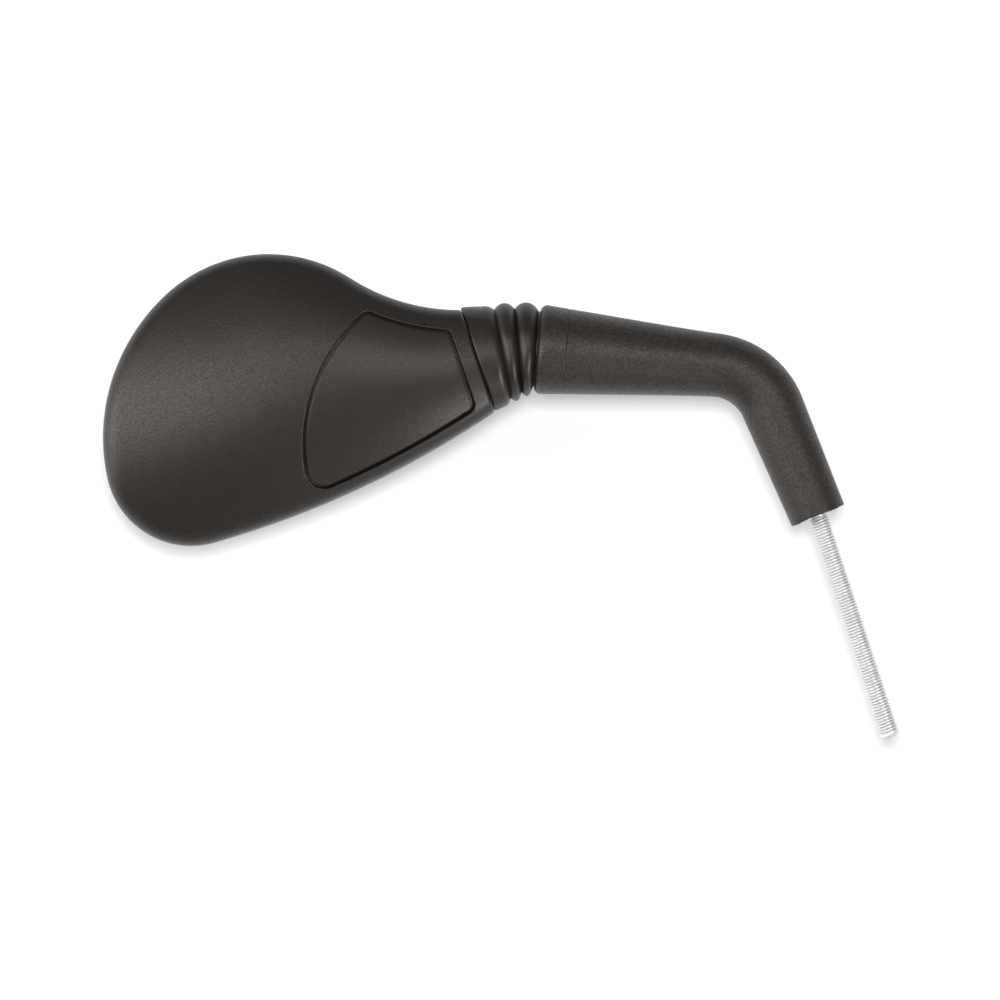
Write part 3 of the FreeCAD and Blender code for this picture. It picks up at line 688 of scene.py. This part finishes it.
def foam():
    """Grey closed-cell foam: small round cells, no shine."""
    material, tree, shader = new_material(
        "foam", color=(0.12, 0.12, 0.12), roughness=0.9, specular=0.2)
    cells = pattern(tree, scale=1500.0, detail=1.0)
    tree.links.new(shades(tree, cells, *foam_tones), shader.inputs["Base Color"])
    bumped(tree, shader, cells, height=0.0003, strength=0.8)
    return material


glass = build_piece("convex_glass", [glass_grid()])
glass.data.materials.append(silvered_glass())
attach(glass, "head")
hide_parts("mirror_glass")
dress(foam(), "glass_pad")


# Stage
# A white sheet hangs behind the part, far enough back for the head to swing, over a strip of floor.
# A small lamp over the camera lights the paper alone and draws the soft shadow along the lower edges.

camera_roll = math.radians(18.25)
camera_distance = 2.4
camera_sensor = 36.0
camera_sight = 20.0
picture_width = 0.42105
picture_middle = (-0.12515, 0.04814)
right = Vector((math.cos(camera_roll), 0.0, -math.sin(camera_roll)))
up = Vector((math.sin(camera_roll), 0.0, math.cos(camera_roll)))
back = Vector((0.0, -1.0, 0.0))
middle = Vector((picture_middle[0], 0.0, picture_middle[1]))

paper_grey = 0.42
paper_lift = 0.14
sheet_reach = 3.0
sheet_behind = 0.15
sheet_y = cad_box[1][1] + sheet_behind
floor_reach = 0.35
floor_below = 0.4
floor_z = cad_box[0][2] - floor_below
white = (1.0, 1.0, 1.0, 1.0)
room_light = 0.25

# Each lamp: metres beside, above and before the middle of the picture, its width and height, its watts.
lamps = (
    ("key", -0.8, 0.08, 0.85, 1.4, 0.7, 12.0),
    ("side", -1.3, 0.0, 0.1, 1.0, 0.8, 6.5),
    ("front", 0.4, 0.38, 1.35, 1.1, 0.4, 5.3),
    ("low", 0.85, -0.73, 0.75, 0.6, 0.5, 11.0),
)
paper_lamp = ("shadow", 0.0, 0.064, camera_distance, 0.112, 0.112, 77.0)


def white_paper(name, see_through_back):
    """Matt white, lifted a little where it is seen so that only the shadow shows; its back may be clear."""
    material, tree, shader = new_material(name, color=(paper_grey,) * 3, roughness=0.9, specular=0.0)
    rays = tree.nodes.new("ShaderNodeLightPath")
    seen = rays.outputs["Is Camera Ray"]
    for kind in ("Is Glossy Ray", "Is Transmission Ray"):
        seen = reckoned(tree, "MAXIMUM", seen, rays.outputs[kind])
    shader.inputs["Emission Color"].default_value = white
    lift = between(tree, seen, low=0.0, high=paper_lift, start=0.0, end=1.0)
    tree.links.new(lift, shader.inputs["Emission Strength"])
    if see_through_back:
        geometry = tree.nodes.new("ShaderNodeNewGeometry")
        clear = tree.nodes.new("ShaderNodeBsdfTransparent")
        mix = tree.nodes.new("ShaderNodeMixShader")
        output = tree.nodes["Material Output"]
        tree.links.new(geometry.outputs["Backfacing"], mix.inputs["Fac"])
        tree.links.new(shader.outputs["BSDF"], mix.inputs[1])
        tree.links.new(clear.outputs["BSDF"], mix.inputs[2])
        tree.links.new(mix.outputs["Shader"], output.inputs["Surface"])
    return material


def paper(name, corners, material):
    """One flat stretch of paper through four corners, facing the part."""
    mesh = bpy.data.meshes.new(name)
    mesh.from_pydata(corners, [], [(0, 1, 2, 3)])
    mesh.materials.append(material)
    piece = add_object(name, mesh)
    return piece


def axes_and_place(across, upright, out, place):
    """The matrix that turns an object's own axes to these three and puts it at the place."""
    return Matrix((
        (across.x, upright.x, out.x, place.x),
        (across.y, upright.y, out.y, place.y),
        (across.z, upright.z, out.z, place.z),
        (0.0, 0.0, 0.0, 1.0)))


def soft_light(name, beside, above, before, wide, high, power):
    """A rectangular light at a place given in the picture's axes, turned to the middle of the picture."""
    lamp = bpy.data.lights.new(name, "AREA")
    lamp.shape = "RECTANGLE"
    lamp.size = wide
    lamp.size_y = high
    lamp.energy = power
    out = (right * beside + up * above + back * before).normalized()
    across = up.cross(out).normalized()
    place = middle + right * beside + up * above + back * before
    holder = add_object(name, lamp)
    holder.matrix_world = axes_and_place(across, out.cross(across), out, place)
    return holder


sheet = paper("shadow_sheet", [
    (-sheet_reach, sheet_y, floor_z),
    (sheet_reach, sheet_y, floor_z),
    (sheet_reach, sheet_y, sheet_reach),
    (-sheet_reach, sheet_y, sheet_reach)], white_paper("sheet_paper", see_through_back=True))
floor = paper("floor", [
    (-sheet_reach, sheet_y - floor_reach, floor_z),
    (sheet_reach, sheet_y - floor_reach, floor_z),
    (sheet_reach, sheet_y, floor_z),
    (-sheet_reach, sheet_y, floor_z)], white_paper("floor_paper", see_through_back=False))
papers = bpy.data.collections.new("papers")
papers.objects.link(sheet)
papers.objects.link(floor)

world = bpy.data.worlds.new("studio")
bpy.context.scene.world = world
world.use_nodes = True
sky = world.node_tree.nodes["Background"]
sky.inputs["Color"].default_value = white
sky.inputs["Strength"].default_value = room_light

for lamp in lamps:
    soft_light(*lamp)
shadow_lamp = soft_light(*paper_lamp)
shadow_lamp.light_linking.receiver_collection = papers

camera_data = bpy.data.cameras.new("camera")
camera_data.sensor_width = camera_sensor
camera_data.lens = camera_sensor * camera_distance / picture_width
camera_data.clip_end = camera_sight
camera = add_object("camera", camera_data)
camera.matrix_world = axes_and_place(right, up, back, middle + back * camera_distance)
bpy.context.scene.camera = camera
bpy.context.scene.view_settings.view_transform = "Standard"
